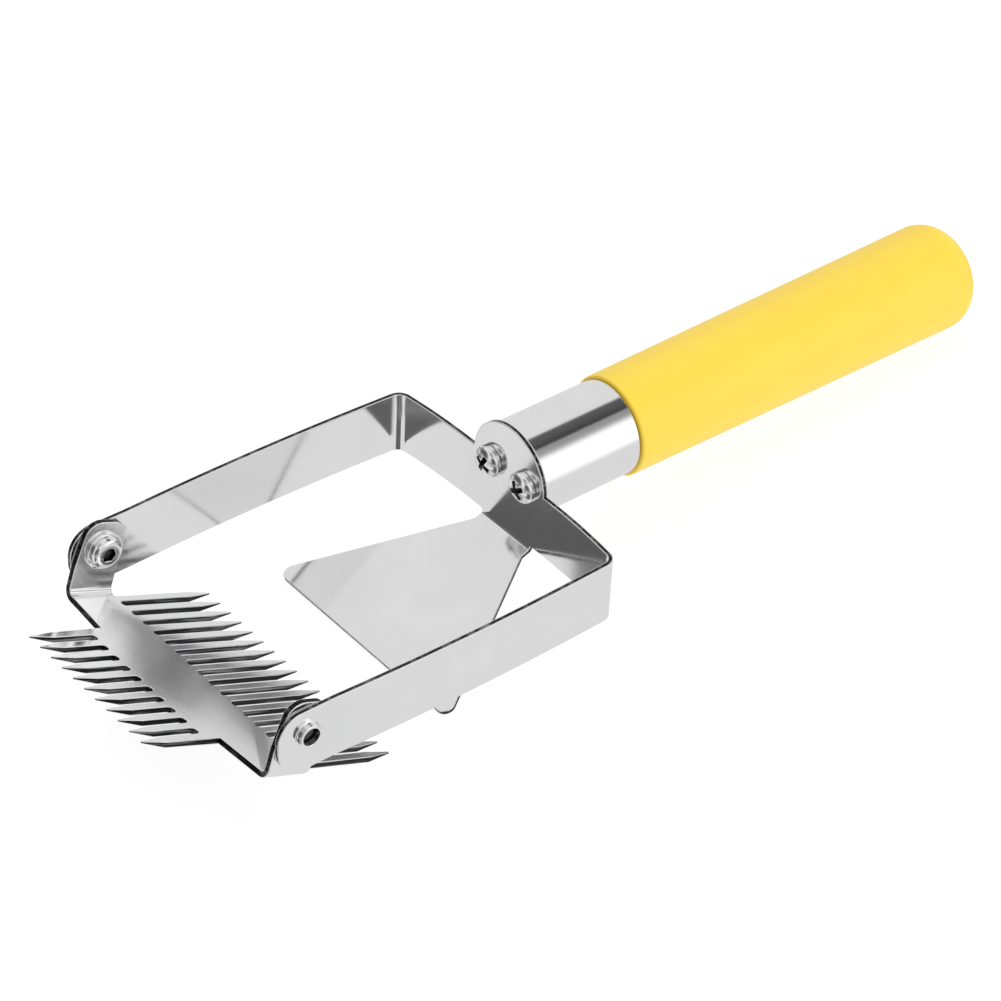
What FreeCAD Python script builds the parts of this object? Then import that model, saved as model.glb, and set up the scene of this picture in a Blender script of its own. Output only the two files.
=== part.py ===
import FreeCAD, Part
import math
import os

from FreeCAD import Vector

# Uncapping fork for honeycomb: a sheet-steel frame on a handle carries a swinging
# plate of tines in front and a flared scraper blade underneath.
#
# Everything is drawn in the tool's own frame first: the handle's axis is X, with the
# butt towards +X, +Y is the tool's left side and +Z is up. The wall's rear face,
# where the handle meets it, is X = 0. At the end the whole tool is tipped about Y
# until its blade and its butt touch one level plane, and its box is centred on Z.
# All sizes are millimetres and degrees.

# frame strip
STRIP_THICKNESS = 1.5
STRIP_TOP = 0.5
STRIP_BOTTOM = -20.0
WALL_FLAT_HALF = 18.0          # half width of the wall's flat middle
WALL_CORNER_X = -2.3           # the wall's wings curve forward by this much
CORNER_HALF = 50.1             # half width over the rear corners
ARM_BOW_X = -50.0              # where the arms bow out most
ARM_BOW_HALF = 51.5
ARM_STRAIGHT_X = -101.8        # from here to the ends the arms are parallel
ARM_HALF = 50.5
ARM_END_X = -121.1
CORNER_RADIUS = 4.5
ARM_TOP_RADIUS = 8.0
ARM_BOTTOM_RADIUS = 10.0

# round ear that the handle is screwed to
EAR_RADIUS = 16.0
HANDLE_SCREW_Y = 7.75
HANDLE_SCREW_HOLE = 2.7

# scraper blade, folded forward from the wall's bottom edge
BLADE_DROP_ANGLE = 19.3        # below the handle's axis
BLADE_BEND_RADIUS = 0.6
BLADE_BEND_Z = -21.0
NECK_HALF = 11.0
NECK_LENGTH = 2.5
BLADE_LENGTH = 54.8
BLADE_FRONT_Y = {"left": 43.2, "right": -39.9}     # the left flare is the wider one
BLADE_CORNER_RADIUS = 3.0

# pivot of the fork plate
PIVOT_X = -111.2
PIVOT_Z = -7.5
SHANK_RADIUS = 2.98
ARM_BORE_RADIUS = 3.0
COLLAR_RADIUS = 3.75
COLLAR_HEIGHT = 1.9
THREAD_ROOT_RADIUS = 2.45
SHANK_END_RECESS = 1.5         # the shank stops this far inside the collar's rim

# fork plate, in its own frame: U runs back along the rear tines, N is up from it
FORK_TILT = 22.6
PLATE_THICKNESS = 2.0
PLATE_TOP = -14.4
TINE_PITCH = 5.40
TINE_WIDTH = 2.64
REAR_TINES = 17
FRONT_TINES = 11
REAR_ROOT = 7.7
REAR_TIP = 42.7
FRONT_ROOT = -13.1
FRONT_TIP = -34.9
WEB_FRONT = -8.4               # beside the front tines; the edge slants back to the bend
POINT_LENGTH = 8.0
POINT_SIZE = 0.45
BEND_FRONT = -6.7              # the plate is narrowest where it folds up into a lug
BEND_REAR = 8.2
LUG_FRONT = -8.1
LUG_REAR = 5.8
LUG_TOP = 9.0
LUG_WAIST = -6.0               # the lug is full width above this
LUG_REAR_SHARE = 0.15           # how much of the rear edge's taper falls within the bend
LUG_CORNER_RADIUS = 5.0
LUG_BEND_RADIUS = 2.0
LUG_CLEARANCE = 0.1            # between the lug and the arm
LUG_BORE_RADIUS = 3.05
WASHER_GAP = 0.05              # between the washer and the lug

# pivot screw, M6 with a low button head, and its thin washer
WASHER_RADIUS = 6.0
WASHER_BORE_RADIUS = 3.2
WASHER_THICKNESS = 0.8
BUTTON_RADIUS = 5.15
BUTTON_HEIGHT = 2.4
BUTTON_RIM = 0.5
BUTTON_FLAT_RADIUS = 3.0
HEX_ACROSS_FLATS = 4.0
HEX_DEPTH = 1.8

# handle screw, cross-recessed pan head, self-tapping
PAN_RADIUS = 5.0
PAN_HEIGHT = 3.8
PAN_RIM = 1.2
TAPPING_RADIUS = 2.4
TAPPING_LENGTH = 25.0
TAPPING_POINT = 5.0
TAPPING_PLAY = 0.02
CROSS_LENGTH = 5.6
CROSS_WIDTH = 1.5
CROSS_DEPTH = 2.6
CROSS_TURN = {"left": 24.0, "right": 58.0}

# handle, which rises a little from square to the ear
HANDLE_LIFT = 0.5
HEAD_GAP = 0.06                # under the screws' heads, so that they clear the ear
FERRULE_RADIUS = 15.0
FERRULE_WALL = 1.0
FERRULE_START = 0.5
FERRULE_END = 36.2
FERRULE_EDGE = 0.35
GRIP_START = 36.5
GRIP_FRONT_RADIUS = 16.0
GRIP_LIP_RADIUS = 0.9
GRIP_REAR_RADIUS = 17.2
GRIP_END = 175.7
BUTT_RADIUS = 9.0
CORE_START = 0.2
CORE_REAR_RADIUS = 12.5
CORE_END = 163.0

SIDES = {"left": 1, "right": -1}
ORIGIN = Vector(0, 0, 0)
ALONG_X = Vector(1, 0, 0)
ALONG_Y = Vector(0, 1, 0)
ALONG_Z = Vector(0, 0, 1)


def closed_face(edges):
    """One flat face from edges given in order round it."""
    return Part.Face(Part.Wire(edges))


def polygon_face(points):
    """A flat face with straight sides."""
    return Part.Face(Part.makePolygon(list(points) + [points[0]]))


def line(start, end):
    return Part.LineSegment(start, end).toShape()


def arc(start, middle, end):
    return Part.Arc(start, middle, end).toShape()


def fillet(solid, radius, wanted):
    """Round every straight or curved edge of the solid for which wanted(edge) is true."""
    return solid.makeFillet(radius, [edge for edge in solid.Edges if wanted(edge)])


def spun(points):
    """Turn an outline of (distance along the handle, radius) points into a solid of revolution."""
    outline = polygon_face([Vector(along, radius, 0) for along, radius in points])
    return outline.revolve(ORIGIN, ALONG_X, 360)


def on_side(solid, side):
    """A piece that is drawn on the tool's left, kept there or mirrored to the right."""
    return solid if side > 0 else solid.mirror(ORIGIN, ALONG_Y)


# ---------------------------------------------------------------- frame bracket

def frame_plan(inset, z):
    """The U frame's closed plan outline at height z, moved inwards by inset."""
    wall_x = -inset
    corner_x = WALL_CORNER_X - inset
    flat = WALL_FLAT_HALF
    corner_y = CORNER_HALF - inset
    bow_y = ARM_BOW_HALF - inset
    arm_y = ARM_HALF - inset
    wing_y = (flat + corner_y) / 2
    wing_x = wall_x + WALL_CORNER_X / 4
    edges = [line(Vector(wall_x, -flat, z), Vector(wall_x, flat, z))]
    edges.append(arc(Vector(wall_x, flat, z), Vector(wing_x, wing_y, z), Vector(corner_x, corner_y, z)))
    edges.append(arc(Vector(corner_x, corner_y, z), Vector(ARM_BOW_X, bow_y, z),
                     Vector(ARM_STRAIGHT_X, arm_y, z)))
    edges.append(line(Vector(ARM_STRAIGHT_X, arm_y, z), Vector(ARM_END_X, arm_y, z)))
    edges.append(line(Vector(ARM_END_X, arm_y, z), Vector(ARM_END_X, -arm_y, z)))
    edges.append(line(Vector(ARM_END_X, -arm_y, z), Vector(ARM_STRAIGHT_X, -arm_y, z)))
    edges.append(arc(Vector(ARM_STRAIGHT_X, -arm_y, z), Vector(ARM_BOW_X, -bow_y, z),
                     Vector(corner_x, -corner_y, z)))
    edges.append(arc(Vector(corner_x, -corner_y, z), Vector(wing_x, -wing_y, z), Vector(wall_x, -flat, z)))
    return closed_face(edges)


def frame_block(inset, corner_radius):
    """The plan outline raised to the strip's height, with its two rear corners rounded."""
    height = STRIP_TOP - STRIP_BOTTOM
    block = frame_plan(inset, STRIP_BOTTOM).extrude(Vector(0, 0, height))

    def rear_corner(edge):
        middle = edge.CenterOfMass
        upright = abs(edge.Vertexes[0].X - edge.Vertexes[-1].X) < 1e-6
        at_corner = abs(abs(middle.y) - (CORNER_HALF - inset)) < 0.01
        return upright and at_corner and abs(middle.x - WALL_CORNER_X + inset) < 0.01

    return fillet(block, corner_radius, rear_corner)


def u_strip():
    """The flat strip bent to a U, with rounded arm ends."""
    outer = frame_block(0, CORNER_RADIUS)
    inner = frame_block(STRIP_THICKNESS, CORNER_RADIUS - STRIP_THICKNESS)
    strip = outer.cut(inner)
    mouth = Part.makeBox(2, 2 * ARM_HALF + 2, 30, Vector(ARM_END_X - 1.9, -ARM_HALF - 1, -25))
    window = Part.makeBox(10, 2 * (ARM_HALF - STRIP_THICKNESS), 30,
                          Vector(ARM_END_X - 5, -ARM_HALF + STRIP_THICKNESS, -25))
    strip = strip.cut(window).cut(mouth)
    front_x = ARM_END_X + 0.1

    def end_edge(height):
        def wanted(edge):
            middle = edge.CenterOfMass
            return abs(middle.x - front_x) < 0.01 and abs(middle.z - height) < 0.01
        return wanted

    strip = fillet(strip, ARM_TOP_RADIUS, end_edge(STRIP_TOP))
    return fillet(strip, ARM_BOTTOM_RADIUS, end_edge(STRIP_BOTTOM))


def round_ear():
    """The half-round tab that stands up from the wall behind the handle's end."""
    disc = Part.makeCylinder(EAR_RADIUS, STRIP_THICKNESS, Vector(-STRIP_THICKNESS, 0, 0), ALONG_X)
    upper = Part.makeBox(10, 2 * EAR_RADIUS, EAR_RADIUS, Vector(-5, -EAR_RADIUS, 0))
    return disc.common(upper)


def blade_sheet():
    """The neck and its bend, and the flared sheet in front of it, drawn flat and then tipped down."""
    neck = Part.makeBox(STRIP_THICKNESS, 2 * NECK_HALF, STRIP_BOTTOM - BLADE_BEND_Z,
                        Vector(-STRIP_THICKNESS, -NECK_HALF, BLADE_BEND_Z))
    turn = 90 - BLADE_DROP_ANGLE
    bend_z = BLADE_BEND_Z
    bend_x = -STRIP_THICKNESS - BLADE_BEND_RADIUS
    start = polygon_face([Vector(-STRIP_THICKNESS, -NECK_HALF, bend_z), Vector(0, -NECK_HALF, bend_z),
                          Vector(0, NECK_HALF, bend_z), Vector(-STRIP_THICKNESS, NECK_HALF, bend_z)])
    bend = start.revolve(Vector(bend_x, 0, bend_z), ALONG_Y, turn)

    front = -BLADE_LENGTH
    outline = polygon_face([Vector(0, -NECK_HALF, 0), Vector(0, NECK_HALF, 0),
                            Vector(-NECK_LENGTH, NECK_HALF, 0), Vector(front, BLADE_FRONT_Y["left"], 0),
                            Vector(front, BLADE_FRONT_Y["right"], 0), Vector(-NECK_LENGTH, -NECK_HALF, 0)])
    sheet = outline.extrude(Vector(0, 0, -STRIP_THICKNESS))

    def front_corner(edge):
        middle = edge.CenterOfMass
        return abs(middle.x - front) < 0.01 and min(abs(middle.y - y) for y in BLADE_FRONT_Y.values()) < 0.01

    sheet = fillet(sheet, BLADE_CORNER_RADIUS, front_corner)
    sheet.translate(Vector(bend_x, 0, bend_z - BLADE_BEND_RADIUS))
    sheet.rotate(Vector(bend_x, 0, bend_z), ALONG_Y, -BLADE_DROP_ANGLE)
    return neck.fuse([bend, sheet])


def pivot_collar(side):
    """The burr drawn outwards from the arm round the tapped hole."""
    base = ARM_HALF - 0.5
    collar = Part.makeCylinder(COLLAR_RADIUS, COLLAR_HEIGHT + 0.5, Vector(PIVOT_X, base, PIVOT_Z), ALONG_Y)
    rim_y = ARM_HALF + COLLAR_HEIGHT

    def rim(edge):
        return abs(edge.CenterOfMass.y - rim_y) < 0.01 and len(edge.Vertexes) == 1

    collar = fillet(collar, 0.45, rim)
    return on_side(collar, side)


def pivot_bore(side):
    """The tapped hole: full size where the screw fills it, thread root size beyond."""
    filled_end = ARM_HALF + COLLAR_HEIGHT - SHANK_END_RECESS
    filled = Part.makeCylinder(ARM_BORE_RADIUS, filled_end - 40, Vector(PIVOT_X, 40, PIVOT_Z), ALONG_Y)
    beyond = Part.makeCylinder(THREAD_ROOT_RADIUS, 20, Vector(PIVOT_X, 40, PIVOT_Z), ALONG_Y)
    bore = filled.fuse(beyond)
    return on_side(bore, side)


def frame_bracket():
    bracket = u_strip().fuse(round_ear()).fuse(blade_sheet())
    for side in SIDES.values():
        bracket = bracket.fuse(pivot_collar(side))
    for side in SIDES.values():
        bracket = bracket.cut(pivot_bore(side))
        bracket = bracket.cut(Part.makeCylinder(HANDLE_SCREW_HOLE, 10,
                                                Vector(-5, side * HANDLE_SCREW_Y, 0), ALONG_X))
    return bracket.removeSplitter()


# ---------------------------------------------------------------- fork plate

def fork_point(u, y, n=0.0):
    """A point in the fork's own frame, with the pivot at its origin."""
    return Vector(u, y, n)


def comb_edge(count, root, tip, first, last):
    """Edges along one side of the plate, from its +Y end to its -Y end.

    first and last are the points that the row of tines joins at its two ends.
    """
    out = 1 if tip > root else -1
    half = TINE_WIDTH / 2
    slot_start = root + out * (TINE_PITCH - TINE_WIDTH) / 2
    point_start = tip - out * POINT_LENGTH
    edges = []
    here = first
    for index in range(count):
        y = TINE_PITCH * ((count - 1) / 2 - index)
        corners = [fork_point(point_start, y + half), fork_point(tip, y + POINT_SIZE / 2),
                   fork_point(tip, y - POINT_SIZE / 2), fork_point(point_start, y - half)]
        for corner in corners:
            edges.append(line(here, corner))
            here = corner
        if index == count - 1:
            edges.append(line(here, last))
            break
        foot = fork_point(slot_start, y - half)
        next_foot = fork_point(slot_start, y - TINE_PITCH + half)
        edges.append(line(here, foot))
        edges.append(arc(foot, fork_point(root, y - TINE_PITCH / 2), next_foot))
        here = next_foot
    return edges


def plate_outline():
    """The plate's flat outline: two combs, and the web between them out to the bends."""
    bend_y = ARM_HALF - STRIP_THICKNESS - LUG_CLEARANCE - PLATE_THICKNESS - LUG_BEND_RADIUS
    rear_y = TINE_PITCH * (REAR_TINES - 1) / 2 + TINE_WIDTH / 2
    front_y = TINE_PITCH * (FRONT_TINES - 1) / 2 + TINE_WIDTH / 2
    rear_end = fork_point(REAR_ROOT + 1.5, rear_y)
    rear_end_right = fork_point(REAR_ROOT + 1.5, -rear_y)
    front_end = fork_point(WEB_FRONT, front_y)
    front_end_right = fork_point(WEB_FRONT, -front_y)
    corners = {"rear": fork_point(BEND_REAR, bend_y), "rear_right": fork_point(BEND_REAR, -bend_y),
               "front": fork_point(BEND_FRONT, bend_y), "front_right": fork_point(BEND_FRONT, -bend_y)}
    edges = [line(corners["rear"], rear_end)]
    edges += comb_edge(REAR_TINES, REAR_ROOT, REAR_TIP, rear_end, rear_end_right)
    edges.append(line(rear_end_right, corners["rear_right"]))
    edges.append(line(corners["rear_right"], corners["front_right"]))
    edges.append(line(corners["front_right"], front_end_right))
    edges += comb_edge(FRONT_TINES, FRONT_ROOT, FRONT_TIP, front_end, front_end_right)
    edges.append(line(front_end, corners["front"]))
    edges.append(line(corners["front"], corners["rear"]))
    return Part.Face(Part.Wire(Part.__sortEdges__(edges)))


def ground_profile():
    """The plate seen from its end: flat on top, and ground up from below at the points."""
    bottom = PLATE_TOP - PLATE_THICKNESS
    point_bottom = PLATE_TOP - POINT_SIZE
    far = 60.0
    points = [(REAR_TIP, PLATE_TOP), (REAR_TIP, point_bottom), (REAR_TIP - POINT_LENGTH, bottom),
              (FRONT_TIP + POINT_LENGTH, bottom), (FRONT_TIP, point_bottom), (FRONT_TIP, PLATE_TOP)]
    face = polygon_face([fork_point(u, -far, n) for u, n in points])
    return face.extrude(Vector(0, 2 * far, 0))


def lug_bend(bend_y, bend_n):
    """The quarter turn between plate and lug, which also widens from the one to the other."""
    steps = 8
    sections = []
    for step in range(steps + 1):
        share = step / steps
        angle = math.radians(90 * share)
        front = BEND_FRONT + (LUG_FRONT - BEND_FRONT) * share * share / 2
        rear = BEND_REAR + (LUG_REAR - BEND_REAR) * share * LUG_REAR_SHARE
        ring = []
        for u, radius in ((front, 1), (rear, 1), (rear, 0), (front, 0)):
            reach = LUG_BEND_RADIUS + radius * PLATE_THICKNESS
            ring.append(fork_point(u, bend_y + reach * math.sin(angle), bend_n - reach * math.cos(angle)))
        sections.append(Part.makePolygon(ring + [ring[0]]))
    return Part.makeLoft(sections, True, False)


def fork_lug(side):
    """One end of the plate folded up: its bend and the flat lug that takes the pivot."""
    outer_y = ARM_HALF - STRIP_THICKNESS - LUG_CLEARANCE
    inner_y = outer_y - PLATE_THICKNESS
    bend_y = inner_y - LUG_BEND_RADIUS
    bend_n = PLATE_TOP + LUG_BEND_RADIUS
    foot_front = (BEND_FRONT + LUG_FRONT) / 2
    foot_rear = BEND_REAR + (LUG_REAR - BEND_REAR) * LUG_REAR_SHARE
    outline = [(foot_front, bend_n), (LUG_FRONT, LUG_WAIST), (LUG_FRONT, LUG_TOP), (LUG_REAR, LUG_TOP),
               (foot_rear, bend_n)]
    flat = polygon_face([fork_point(u, inner_y, n) for u, n in outline])
    flat = flat.extrude(Vector(0, PLATE_THICKNESS, 0))

    def top_corner(edge):
        middle = edge.CenterOfMass
        at_end = min(abs(middle.x - LUG_FRONT), abs(middle.x - LUG_REAR)) < 0.01
        return at_end and abs(middle.z - LUG_TOP) < 0.01

    lug = fillet(flat, LUG_CORNER_RADIUS, top_corner).fuse(lug_bend(bend_y, bend_n))
    lug = lug.cut(Part.makeCylinder(LUG_BORE_RADIUS, 20, fork_point(0, inner_y - 5), ALONG_Y))
    return on_side(lug, side)


def fork_plate():
    slab = plate_outline().extrude(Vector(0, 0, -PLATE_THICKNESS))
    slab.translate(Vector(0, 0, PLATE_TOP))
    plate = slab.common(ground_profile())
    for side in SIDES.values():
        plate = plate.fuse(fork_lug(side))
    plate = plate.removeSplitter()
    plate.rotate(ORIGIN, ALONG_Y, FORK_TILT)
    plate.translate(Vector(PIVOT_X, 0, PIVOT_Z))
    return plate


# ---------------------------------------------------------------- pivot hardware

def washer_inner_y():
    """The face of the left washer that the screw head bears on."""
    lug_inner = ARM_HALF - STRIP_THICKNESS - LUG_CLEARANCE - PLATE_THICKNESS
    return lug_inner - WASHER_GAP - WASHER_THICKNESS


def pivot_washer(side):
    start = Vector(PIVOT_X, washer_inner_y(), PIVOT_Z)
    disc = Part.makeCylinder(WASHER_RADIUS, WASHER_THICKNESS, start, ALONG_Y)
    disc = fillet(disc, 0.25, lambda edge: len(edge.Vertexes) == 1)
    washer = disc.cut(Part.makeCylinder(WASHER_BORE_RADIUS, WASHER_THICKNESS, start, ALONG_Y))
    return on_side(washer, side)


def pivot_screw(side):
    """Button head with a hexagon socket, and a plain shank up to the collar's thread."""
    seat = washer_inner_y()
    shank_end = ARM_HALF + COLLAR_HEIGHT - SHANK_END_RECESS
    rim_y = seat - BUTTON_RIM
    top_y = seat - BUTTON_HEIGHT
    middle_radius = BUTTON_RADIUS * 0.875
    middle_y = seat - BUTTON_HEIGHT * 0.68
    edges = [line(Vector(0, shank_end, 0), Vector(SHANK_RADIUS - 0.4, shank_end, 0)),
             line(Vector(SHANK_RADIUS - 0.4, shank_end, 0), Vector(SHANK_RADIUS, shank_end - 0.4, 0)),
             line(Vector(SHANK_RADIUS, shank_end - 0.4, 0), Vector(SHANK_RADIUS, seat, 0)),
             line(Vector(SHANK_RADIUS, seat, 0), Vector(BUTTON_RADIUS, seat, 0)),
             line(Vector(BUTTON_RADIUS, seat, 0), Vector(BUTTON_RADIUS, rim_y, 0)),
             arc(Vector(BUTTON_RADIUS, rim_y, 0), Vector(middle_radius, middle_y, 0),
                 Vector(BUTTON_FLAT_RADIUS, top_y, 0)),
             line(Vector(BUTTON_FLAT_RADIUS, top_y, 0), Vector(0, top_y, 0)),
             line(Vector(0, top_y, 0), Vector(0, shank_end, 0))]
    screw = closed_face(edges).revolve(ORIGIN, ALONG_Y, 360)
    corner = HEX_ACROSS_FLATS / math.sqrt(3)
    angles = [math.radians(60 * step + 15) for step in range(6)]
    hexagon = polygon_face([Vector(corner * math.cos(a), top_y - 1, corner * math.sin(a)) for a in angles])
    socket = hexagon.extrude(Vector(0, HEX_DEPTH + 1, 0))
    screw = screw.cut(socket)
    screw.translate(Vector(PIVOT_X, 0, PIVOT_Z))
    return on_side(screw, side)


# ---------------------------------------------------------------- handle

def cross_recess(turn):
    """Two tapered slots across each other, narrowing to the bottom of the recess."""
    face_x = -STRIP_THICKNESS - HEAD_GAP - PAN_HEIGHT
    recess = None
    for angle in (turn, turn + 90):
        wires = []
        for depth, scale in ((-0.5, 1.12), (CROSS_DEPTH, 0.42)):
            half_long = CROSS_LENGTH / 2 * scale
            half_wide = CROSS_WIDTH / 2 * scale
            x = face_x + depth
            wires.append(Part.makePolygon([Vector(x, -half_long, -half_wide), Vector(x, half_long, -half_wide),
                                           Vector(x, half_long, half_wide), Vector(x, -half_long, half_wide),
                                           Vector(x, -half_long, -half_wide)]))
        slot = Part.makeLoft(wires, True, True)
        slot.rotate(ORIGIN, ALONG_X, angle)
        recess = slot if recess is None else recess.fuse(slot)
    return recess


def handle_screw(name):
    """Pan head on the ear's front face, with its shank through the ear into the core."""
    seat = -STRIP_THICKNESS - HEAD_GAP
    rim_x = seat - PAN_RIM
    top_x = seat - PAN_HEIGHT
    shank = TAPPING_RADIUS - TAPPING_PLAY
    tip_x = seat + TAPPING_LENGTH
    edges = [arc(Vector(top_x, 0, 0), Vector(seat - PAN_HEIGHT * 0.87, PAN_RADIUS * 0.62, 0),
                 Vector(rim_x, PAN_RADIUS, 0)),
             line(Vector(rim_x, PAN_RADIUS, 0), Vector(seat, PAN_RADIUS, 0)),
             line(Vector(seat, PAN_RADIUS, 0), Vector(seat, shank, 0)),
             line(Vector(seat, shank, 0), Vector(tip_x - TAPPING_POINT, shank, 0)),
             line(Vector(tip_x - TAPPING_POINT, shank, 0), Vector(tip_x, 0, 0)),
             line(Vector(tip_x, 0, 0), Vector(top_x, 0, 0))]
    screw = closed_face(edges).revolve(ORIGIN, ALONG_X, 360)
    screw = screw.cut(cross_recess(CROSS_TURN[name]))
    screw.translate(Vector(0, SIDES[name] * HANDLE_SCREW_Y, 0))
    return screw


def ferrule():
    inner = FERRULE_RADIUS - FERRULE_WALL
    edge = FERRULE_EDGE
    return spun([(FERRULE_START, inner), (FERRULE_START, FERRULE_RADIUS - edge),
                 (FERRULE_START + edge, FERRULE_RADIUS), (FERRULE_END - edge, FERRULE_RADIUS),
                 (FERRULE_END, FERRULE_RADIUS - edge), (FERRULE_END, inner)])


def handle_core():
    """The wooden plug that fills the ferrule and runs back inside the grip."""
    front = FERRULE_RADIUS - FERRULE_WALL
    core = spun([(CORE_START, 0), (CORE_START, front), (FERRULE_END, front), (FERRULE_END, CORE_REAR_RADIUS),
                 (CORE_END, CORE_REAR_RADIUS), (CORE_END, 0)])
    straight = TAPPING_LENGTH - STRIP_THICKNESS - TAPPING_POINT
    for side in SIDES.values():
        y = side * HANDLE_SCREW_Y
        core = core.cut(Part.makeCylinder(TAPPING_RADIUS, straight, Vector(0, y, 0), ALONG_X))
        core = core.cut(Part.makeCone(TAPPING_RADIUS, 0, TAPPING_POINT, Vector(straight, y, 0), ALONG_X))
    return core


def grip():
    """The tapered plastic sleeve, closed and rounded at the butt."""
    lip = GRIP_LIP_RADIUS
    round_x = GRIP_END - BUTT_RADIUS
    diagonal = math.sqrt(0.5)
    edges = [line(Vector(GRIP_START, CORE_REAR_RADIUS, 0), Vector(GRIP_START, GRIP_FRONT_RADIUS - lip, 0)),
             arc(Vector(GRIP_START, GRIP_FRONT_RADIUS - lip, 0),
                 Vector(GRIP_START + lip * (1 - diagonal), GRIP_FRONT_RADIUS - lip * (1 - diagonal), 0),
                 Vector(GRIP_START + lip, GRIP_FRONT_RADIUS, 0)),
             line(Vector(GRIP_START + lip, GRIP_FRONT_RADIUS, 0), Vector(round_x, GRIP_REAR_RADIUS, 0)),
             arc(Vector(round_x, GRIP_REAR_RADIUS, 0),
                 Vector(round_x + BUTT_RADIUS * diagonal, GRIP_REAR_RADIUS - BUTT_RADIUS * (1 - diagonal), 0),
                 Vector(GRIP_END, GRIP_REAR_RADIUS - BUTT_RADIUS, 0)),
             line(Vector(GRIP_END, GRIP_REAR_RADIUS - BUTT_RADIUS, 0), Vector(GRIP_END, 0, 0)),
             line(Vector(GRIP_END, 0, 0), Vector(CORE_END, 0, 0)),
             line(Vector(CORE_END, 0, 0), Vector(CORE_END, CORE_REAR_RADIUS, 0)),
             line(Vector(CORE_END, CORE_REAR_RADIUS, 0), Vector(GRIP_START, CORE_REAR_RADIUS, 0))]
    return closed_face(edges).revolve(ORIGIN, ALONG_X, 360)


# ---------------------------------------------------------------- resting pose

def lifted(point):
    """Where a point of the handle goes when the handle rises from square."""
    return FreeCAD.Rotation(ALONG_Y, -HANDLE_LIFT).multVec(point)


def rest_tilt():
    """The turn about Y, in degrees, that puts the blade's edge and the butt on one level."""
    drop = math.radians(BLADE_DROP_ANGLE)
    depth = BLADE_BEND_RADIUS + STRIP_THICKNESS
    edge_x = -depth - BLADE_LENGTH * math.cos(drop) + depth * math.sin(drop)
    edge_z = BLADE_BEND_Z - BLADE_LENGTH * math.sin(drop) - depth * math.cos(drop)
    butt = lifted(Vector(GRIP_END - BUTT_RADIUS, 0, BUTT_RADIUS - GRIP_REAR_RADIUS))
    reach = butt.x - edge_x
    rise = edge_z - butt.z
    turn = math.asin(-BUTT_RADIUS / math.hypot(reach, rise)) - math.atan2(rise, reach)
    return math.degrees(turn)


def build():
    pieces = {"ferrule": ferrule(), "handle_core": handle_core(), "grip": grip()}
    for name in SIDES:
        pieces["handle_screw_" + name] = handle_screw(name)
    for shape in pieces.values():
        shape.rotate(ORIGIN, ALONG_Y, -HANDLE_LIFT)
    pieces["frame_bracket"] = frame_bracket()
    pieces["fork_plate"] = fork_plate()
    for name, side in SIDES.items():
        pieces["pivot_screw_" + name] = pivot_screw(side)
        pieces["pivot_washer_" + name] = pivot_washer(side)
    return pieces


def placement(pieces):
    """The resting turn, and the shift that centres the tool's box over the origin."""
    turned = FreeCAD.Placement(ORIGIN, FreeCAD.Rotation(ALONG_Y, rest_tilt()))
    box = FreeCAD.BoundBox()
    for shape in pieces.values():
        box.add(shape.transformed(turned.toMatrix()).optimalBoundingBox())
    return FreeCAD.Placement(Vector(-box.Center.x, 0, -box.ZMin), turned.Rotation)


def main():
    os.makedirs("parts", exist_ok=True)
    pieces = build()
    place = placement(pieces)
    for name, shape in pieces.items():
        shape = shape.transformed(place.toMatrix())
        shape.exportStep("parts/" + name + ".step")
        box = shape.optimalBoundingBox()
        print(name, "solids", len(shape.Solids), "valid", shape.isValid(),
              "volume", round(shape.Volume, 1), "z", round(box.ZMin, 2), round(box.ZMax, 2))
    pivot = place.multVec(Vector(PIVOT_X, 0, PIVOT_Z))
    print("pivot", pivot, "rest tilt", round(rest_tilt(), 3), "origin", place.Base)


main()
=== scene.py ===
"""Uncapping fork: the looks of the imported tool.

Lengths in this file are millimetres in the tool's own frame, unless they say otherwise:
X runs back along the handle, Y to the tool's left, Z up, and the wall's rear face is X = 0.
"""
import math

import bmesh
import bpy
import numpy as np
from mathutils import Matrix, Vector


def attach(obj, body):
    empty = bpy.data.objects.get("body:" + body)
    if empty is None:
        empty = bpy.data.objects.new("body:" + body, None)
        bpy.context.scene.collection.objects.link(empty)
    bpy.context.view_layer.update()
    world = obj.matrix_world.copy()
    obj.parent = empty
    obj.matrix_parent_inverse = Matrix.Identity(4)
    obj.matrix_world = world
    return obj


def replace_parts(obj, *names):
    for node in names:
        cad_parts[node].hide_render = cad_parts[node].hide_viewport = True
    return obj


bl_info = {
    "name": "Uncapping Fork",
    "version": (1, 0, 0),
    "blender": (4, 5, 0),
    "location": "View3D > Sidebar > Fork",
    "description": "Builds the finished surfaces, materials and studio of an uncapping fork",
    "category": "Object",
}

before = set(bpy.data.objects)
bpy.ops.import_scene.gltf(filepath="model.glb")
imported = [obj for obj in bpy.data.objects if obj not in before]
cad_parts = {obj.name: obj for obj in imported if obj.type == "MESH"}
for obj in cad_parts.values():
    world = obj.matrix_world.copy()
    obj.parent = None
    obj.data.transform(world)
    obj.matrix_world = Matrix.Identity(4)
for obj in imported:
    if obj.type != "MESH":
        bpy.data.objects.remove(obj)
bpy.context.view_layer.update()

MM = 0.001

# how the tool rests: turned about Y and lifted onto its lowest points
REST_TILT = math.radians(6.561)
REST_BASE = np.array([-13.2964, 0.0, 34.7550])
HANDLE_LIFT = math.radians(0.5)

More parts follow.
